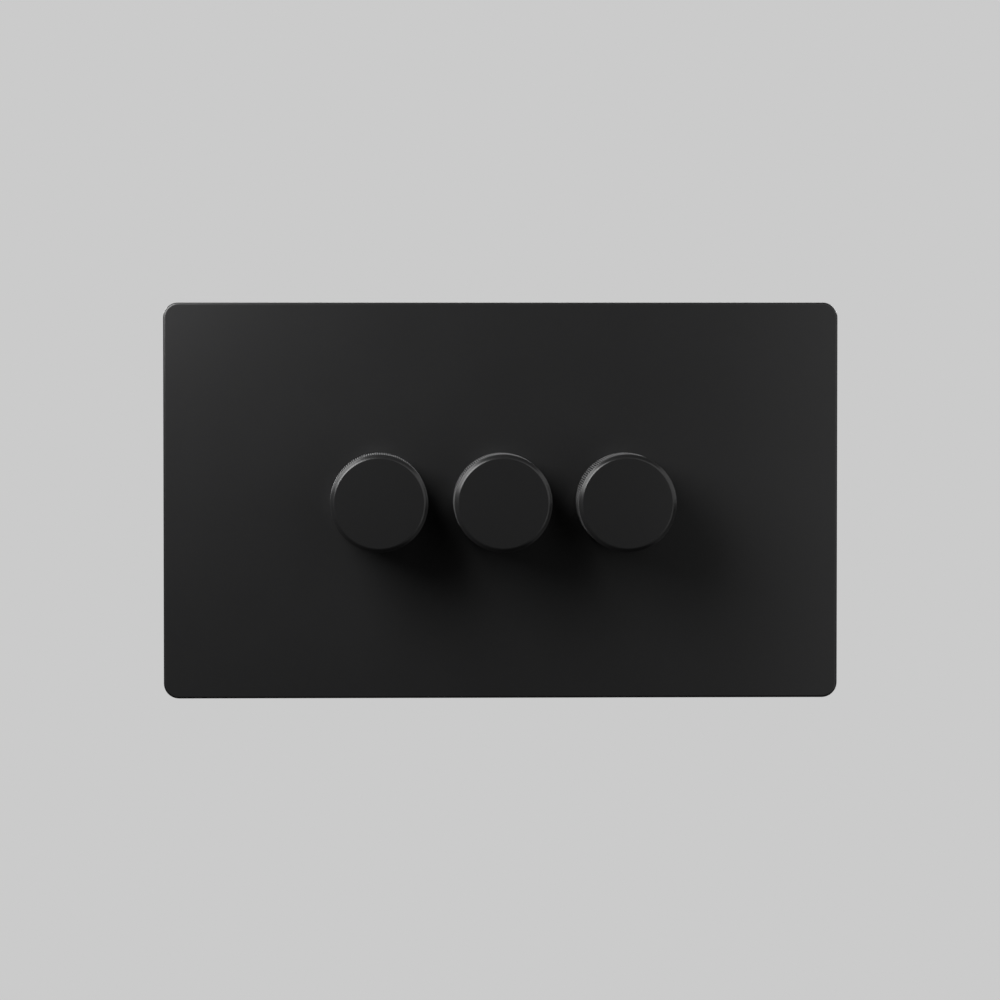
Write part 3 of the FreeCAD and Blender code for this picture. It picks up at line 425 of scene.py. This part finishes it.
for entry in frame["record"]["subparts"]:
    shown = frame["nodes"][entry["node"]].data
    shown.materials.clear()
    shown.materials.append(MATERIALS[entry["material_slot"]])


# ---------------------------------------------------------------- mesh helpers


def mesh_object(name, vertices, faces, slot, sharp_degrees):
    data = bpy.data.meshes.new(name)
    data.from_pydata(vertices, [], faces)
    data.validate()
    data.materials.append(MATERIALS[slot])
    made = bpy.data.objects.new(name, data)
    bpy.context.scene.collection.objects.link(made)
    smooth(made, sharp_degrees)
    return made


def smooth(made, sharp_degrees):
    made.data.shade_smooth()
    made.data.set_sharp_from_angle(angle=math.radians(sharp_degrees))


def bridge(first, second):
    """Quads from one ring of vertex numbers to the next."""
    count = len(first)
    return [
        (first[i], first[(i + 1) % count], second[(i + 1) % count], second[i])
        for i in range(count)
    ]


def cut_away(made, vertices, faces):
    """Takes a closed shape out of a piece."""
    data = bpy.data.meshes.new("cutter")
    data.from_pydata(vertices, [], faces)
    cutter = bpy.data.objects.new("cutter", data)
    bpy.context.scene.collection.objects.link(cutter)
    cutting = made.modifiers.new("cut", "BOOLEAN")
    cutting.operation = "DIFFERENCE"
    cutting.solver = "EXACT"
    cutting.object = cutter
    bpy.context.view_layer.update()
    depsgraph = bpy.context.evaluated_depsgraph_get()
    result = bpy.data.meshes.new_from_object(made.evaluated_get(depsgraph))
    made.modifiers.clear()
    made.data = result
    bpy.data.objects.remove(cutter)


class Solid:
    """Vertices and faces of one mesh as it is built."""

    def __init__(self):
        self.vertices = []
        self.faces = []

    def point(self, position):
        self.vertices.append(tuple(position))
        return len(self.vertices) - 1

    def ring(self, angles, radius, depth, clamp=None):
        """A ring round the Y axis. With clamp, what is below that height moves up to it."""
        made = []
        for angle in angles:
            x, z = radius * math.cos(angle), radius * math.sin(angle)
            if clamp is not None:
                z = max(z, clamp)
            made.append(self.point((x, depth, z)))
        return made

    def angles(self, ring):
        """Where the points of a ring lie round the Y axis."""
        return [math.atan2(self.vertices[i][2], self.vertices[i][0]) for i in ring]


# ---------------------------------------------------------------- knobs


def rounded_corner(reach, depth, size, tilt, last_tilt, steps=4):
    """Points of an arc where a knob's profile turns from one tilt to another."""
    back = size * math.tan((last_tilt - tilt) / 2)
    points = []
    for i in range(steps + 1):
        turned = tilt + (last_tilt - tilt) * i / steps
        points.append(
            (
                reach - back * math.cos(tilt) + size * (math.sin(turned) - math.sin(tilt)),
                depth - back * math.sin(tilt) + size * (math.cos(tilt) - math.cos(turned)),
            )
        )
    return points


def bevel_profile():
    """Radius and depth behind the face, from the face's edge over the bevel to the knurl.

    The bevel steepens outwards and ends in a narrow, flatter rim.
    """
    start, end = BEVEL_SLOPES
    inner = KNOB_RADIUS - BEVEL_WIDTH
    crowned = BEVEL_WIDTH - BEVEL_RIM
    points = rounded_corner(inner, 0, BEVEL_ROUNDING, 0, math.atan(start))
    for share in (0.25, 0.5, 0.75, 0.95):
        out = crowned * share
        points.append((inner + out, out * (start + (end - start) * share / 2)))
    out = crowned * 1.05
    points.append((inner + out, BEVEL_DEPTH - (BEVEL_WIDTH - out) * BEVEL_RIM_SLOPE))
    rim_tilt = math.atan(BEVEL_RIM_SLOPE)
    points += rounded_corner(KNOB_RADIUS, BEVEL_DEPTH, BARREL_ROUNDING, rim_tilt, math.pi / 2)
    points.append((KNOB_RADIUS, BEVEL_DEPTH + COLLAR / 2))
    return points


def knob_mesh():
    """A knob round the Y axis: diamond knurl, bevelled face, rear recess and D-shaped bore."""
    solid = Solid()
    radius, front, rear = KNOB_RADIUS, KNOB_LOW.y, KNOB_HIGH.y
    step = math.pi / KNURLS
    first = front + BEVEL_DEPTH + COLLAR
    last = rear - REAR_CHAMFER
    half_height = radius * step / math.tan(KNURL_TILT)
    rows = round((last - first) / half_height)

    def place(column, row, crest):
        reach = radius if crest else radius - KNURL_DEPTH
        depth = first + (last - first) * row / rows
        if not crest and row == rows:
            depth += KNURL_DEPTH
        angle = column * step
        return solid.point((reach * math.cos(angle), depth, reach * math.sin(angle)))

    columns = 2 * KNURLS
    pits = {}
    for row in range(rows + 1):
        for column in range(columns):
            if (column + row) % 2:
                pits[column, row] = place(column, row, False)
    ends = {0: [], rows: []}
    for row in range(rows + 1):
        for column in range(row % 2, columns, 2):
            before = pits[(column - 1) % columns, row]
            after = pits[(column + 1) % columns, row]
            near = pits.get((column, row - 1))
            far = pits.get((column, row + 1))
            left = place(column - CREST_SHARE, row, True)
            right = place(column + CREST_SHARE, row, True)
            if row in ends:
                inner, crest_row = (far, CREST_SHARE) if row == 0 else (near, rows - CREST_SHARE)
                tip = place(column, crest_row, True)
                solid.faces += [
                    (before, left, tip, inner),
                    (inner, tip, right, after),
                    (left, right, tip),
                ]
                ends[row] += [before, left, right]
            else:
                top = place(column, row - CREST_SHARE, True)
                bottom = place(column, row + CREST_SHARE, True)
                solid.faces += [
                    (before, near, top, left),
                    (near, after, right, top),
                    (after, far, bottom, right),
                    (far, before, left, bottom),
                    (left, top, right, bottom),
                ]
    angles = solid.angles(ends[0])
    previous = ends[0]
    for reach, depth in reversed(bevel_profile()):
        ring = solid.ring(angles, reach, front + depth)
        solid.faces += bridge(previous, ring)
        previous = ring
    solid.faces.append(tuple(previous))

    angles = solid.angles(ends[rows])
    floor = rear - RECESS_DEPTH
    bore_end = rear - BORE_DEPTH
    previous = ends[rows]
    for reach, depth, clamp in (
        (radius - REAR_CHAMFER, rear, None),
        (RECESS_RADIUS + RECESS_CHAMFER, rear, None),
        (RECESS_RADIUS, rear - RECESS_CHAMFER, None),
        (RECESS_RADIUS, floor, None),
        (BORE_RADIUS, floor, -BORE_FLAT),
        (BORE_RADIUS, bore_end, -BORE_FLAT),
    ):
        ring = solid.ring(angles, reach, depth, clamp)
        solid.faces += bridge(previous, ring)
        previous = ring
    solid.faces.append(tuple(previous))
    return solid


def upright_rod(radius, x, y, bottom, top, sides=48):
    """Vertices and faces of a closed upright rod."""
    vertices, faces = [], []
    for z in (bottom, top):
        for i in range(sides):
            angle = 2 * math.pi * i / sides
            vertices.append((x + radius * math.cos(angle), y + radius * math.sin(angle), z))
    faces += bridge(list(range(sides)), list(range(sides, 2 * sides)))
    faces += [tuple(range(sides - 1, -1, -1)), tuple(range(sides, 2 * sides))]
    return vertices, faces


def face_outward(made):
    shape = bmesh.new()
    shape.from_mesh(made.data)
    bmesh.ops.recalc_face_normals(shape, faces=shape.faces)
    shape.to_mesh(made.data)
    shape.free()


knob_solid = knob_mesh()
pattern = mesh_object("knob_pattern", knob_solid.vertices, knob_solid.faces, "knob_coat", KNOB_SHARP)
face_outward(pattern)
hole = upright_rod(SET_SCREW_RADIUS, 0, KNOB_HIGH.y - SET_SCREW_FROM_REAR, *SET_SCREW_HOLE)
cut_away(pattern, *hole)
smooth(pattern, KNOB_SHARP)
for gang in GANGS:
    node_low, node_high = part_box(f"{gang}_knob")
    knob = bpy.data.objects.new(f"{gang}_knurled_knob", pattern.data)
    bpy.context.scene.collection.objects.link(knob)
    knob.location.x = (node_low.x + node_high.x) / 2
    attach(knob, f"{gang}_dial")
    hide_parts(f"{gang}_knob")
bpy.data.objects.remove(pattern)


# ---------------------------------------------------------------- return springs


def spring_solid(low, high, sides=14, steps_per_turn=40):
    """A compression spring along Y, whose end coils lie flat."""
    solid = Solid()
    centre = (low + high) / 2
    reach = (high.z - low.z) / 2 - SPRING_WIRE_RADIUS
    start, stop = low.y + SPRING_WIRE_RADIUS, high.y - SPRING_WIRE_RADIUS
    steps = round(SPRING_TURNS * steps_per_turn)
    rings = []
    for i in range(steps + 1):
        share = i / steps
        rise = share - SPRING_SWING * math.sin(2 * math.pi * share)
        depth = start + (stop - start) * min(1.0, max(0.0, rise))
        angle = 2 * math.pi * SPRING_TURNS * share
        outward = Vector((math.cos(angle), 0, math.sin(angle)))
        ring = []
        for j in range(sides):
            turn = 2 * math.pi * j / sides
            offset = outward * (reach + SPRING_WIRE_RADIUS * math.cos(turn))
            along = depth + SPRING_WIRE_RADIUS * math.sin(turn)
            ring.append(solid.point(Vector((centre.x, along, centre.z)) + offset))
        rings.append(ring)
    for first, second in zip(rings, rings[1:]):
        solid.faces += bridge(first, second)
    solid.faces += [tuple(reversed(rings[0])), tuple(rings[-1])]
    return solid


for gang in GANGS:
    node_low, node_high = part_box(f"{gang}_return_spring")
    coil = spring_solid(node_low, node_high)
    spring = mesh_object(f"{gang}_spring_coil", coil.vertices, coil.faces, "spring_steel", SPRING_SHARP)
    face_outward(spring)
    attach(spring, "root")
    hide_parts(f"{gang}_return_spring")
    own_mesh(spring)


# ---------------------------------------------------------------- box screws


def groove(phase):
    """How deep a thread is at this share of its pitch: 0 on the crest, 1 at the root."""
    rise = 1 - abs(2 * phase - 1)
    return min(1.0, max(0.0, (rise - THREAD_FLAT) / (1 - 2 * THREAD_FLAT)))


def screw_solid(x, low, high, sides=40, steps_per_pitch=8):
    """A slotted pan-head screw along Y with a real thread."""
    solid = Solid()
    head = (high.z - low.z) / 2
    under = low.y + SCREW_HEAD_HEIGHT
    angles = [2 * math.pi * i / sides for i in range(sides)]
    rings = []
    for width, height in SCREW_HEAD_CROWN:
        rings.append(solid.ring(angles, head * width, low.y + height * SCREW_HEAD_HEIGHT))
    for reach, depth in (
        (head, under - SCREW_HEAD_EDGE),
        (head - SCREW_HEAD_EDGE, under),
        (SCREW_NECK_RADIUS, under),
    ):
        rings.append(solid.ring(angles, reach, depth))
    thread_length = high.y - SCREW_THREAD_START
    steps = round(thread_length / SCREW_PITCH * steps_per_pitch)
    for i in range(steps + 1):
        depth = SCREW_THREAD_START + thread_length * i / steps
        ring = []
        for angle in angles:
            phase = (depth / SCREW_PITCH - angle / (2 * math.pi)) % 1
            reach = SCREW_RADIUS - SCREW_GROOVE * groove(phase)
            entry = SCREW_NECK_RADIUS + (depth - SCREW_THREAD_START) * SCREW_THREAD_ENTRY
            point = SCREW_RADIUS - SCREW_POINT + (high.y - depth)
            reach = min(reach, entry, point)
            ring.append(solid.point((reach * math.cos(angle), depth, reach * math.sin(angle))))
        rings.append(ring)
    for first, second in zip(rings, rings[1:]):
        solid.faces += bridge(first, second)
    solid.faces += [tuple(reversed(rings[0])), tuple(rings[-1])]
    for i, (across, inward, up) in enumerate(solid.vertices):
        solid.vertices[i] = (across + x, inward, up)
    return solid


node_low, node_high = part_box("box_screws")
head_radius = (node_high.z - node_low.z) / 2
for side, x in (("left", node_low.x + head_radius), ("right", node_high.x - head_radius)):
    shape = screw_solid(x, node_low, node_high)
    screw = mesh_object(f"{side}_box_screw", shape.vertices, shape.faces, "plated_screw", SCREW_SHARP)
    face_outward(screw)
    reach = head_radius * 1.2
    corners = [
        (x + along * reach, node_low.y + inward * SCREW_SLOT_DEPTH, up * SCREW_SLOT / 2)
        for along in (-1, 1)
        for inward in (-1, 1)
        for up in (-1, 1)
    ]
    sides = [(0, 1, 3, 2), (4, 6, 7, 5), (0, 4, 5, 1), (2, 3, 7, 6), (0, 2, 6, 4), (1, 5, 7, 3)]
    cut_away(screw, corners, sides)
    smooth(screw, SCREW_SHARP)
    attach(screw, "root")
    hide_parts("box_screws")


# ---------------------------------------------------------------- floor, light and camera


def floor():
    height = LOW.z - FLOOR_DROP
    signs = ((-1, -1), (1, -1), (1, 1), (-1, 1))
    corners = [(across * FLOOR_REACH, inward * FLOOR_REACH, height) for across, inward in signs]
    data = bpy.data.meshes.new("floor")
    data.from_pydata(corners, [], [(0, 1, 2, 3)])
    data.materials.append(pale_floor("pale_floor"))
    made = bpy.data.objects.new("floor", data)
    bpy.context.scene.collection.objects.link(made)
    made.visible_diffuse = False
    made.visible_glossy = False


def softbox(name, place, width, height, watts):
    """A soft light that faces the frame's origin, on the wall behind the plate's centre."""
    data = bpy.data.lights.new(name, "AREA")
    data.shape = "RECTANGLE"
    data.size = width
    data.size_y = height
    data.energy = watts
    made = bpy.data.objects.new(name, data)
    made.location = place
    made.rotation_euler = Vector(place).to_track_quat("Z", "Y").to_euler()
    made.visible_camera = False
    bpy.context.scene.collection.objects.link(made)


def studio():
    world = bpy.data.worlds.new("studio")
    bpy.context.scene.world = world
    world.use_nodes = True
    tree = world.node_tree
    tree.nodes.clear()
    out = tree.nodes.new("ShaderNodeOutputWorld")
    mix = tree.nodes.new("ShaderNodeMixShader")
    path = tree.nodes.new("ShaderNodeLightPath")
    backdrop = tree.nodes.new("ShaderNodeBackground")
    ambient = tree.nodes.new("ShaderNodeBackground")
    backdrop.inputs["Color"].default_value = (BACKDROP_GREY, BACKDROP_GREY, BACKDROP_GREY, 1)
    ambient.inputs["Color"].default_value = (AMBIENT_GREY, AMBIENT_GREY, AMBIENT_GREY, 1)
    tree.links.new(path.outputs["Is Camera Ray"], mix.inputs["Fac"])
    tree.links.new(ambient.outputs[0], mix.inputs[1])
    tree.links.new(backdrop.outputs[0], mix.inputs[2])
    tree.links.new(mix.outputs[0], out.inputs["Surface"])
    for name, place, width, height, watts in SOFTBOXES:
        softbox(name, place, width, height, watts)


def camera():
    data = bpy.data.cameras.new("camera")
    data.sensor_width = CAMERA_SENSOR
    data.lens = CAMERA_SENSOR * CAMERA_DISTANCE / VIEW_WIDTH
    data.clip_start = 0.05
    data.clip_end = 20
    made = bpy.data.objects.new("camera", data)
    back = Vector(
        (
            math.sin(CAMERA_AZIMUTH) * math.cos(CAMERA_ELEVATION),
            -math.cos(CAMERA_AZIMUTH) * math.cos(CAMERA_ELEVATION),
            math.sin(CAMERA_ELEVATION),
        )
    )
    made.location = CAMERA_AIM + back * CAMERA_DISTANCE
    made.rotation_euler = (-back).to_track_quat("-Z", "Y").to_euler()
    bpy.context.scene.collection.objects.link(made)
    bpy.context.scene.camera = made


floor()
studio()
camera()
bpy.context.scene.view_settings.view_transform = "Standard"
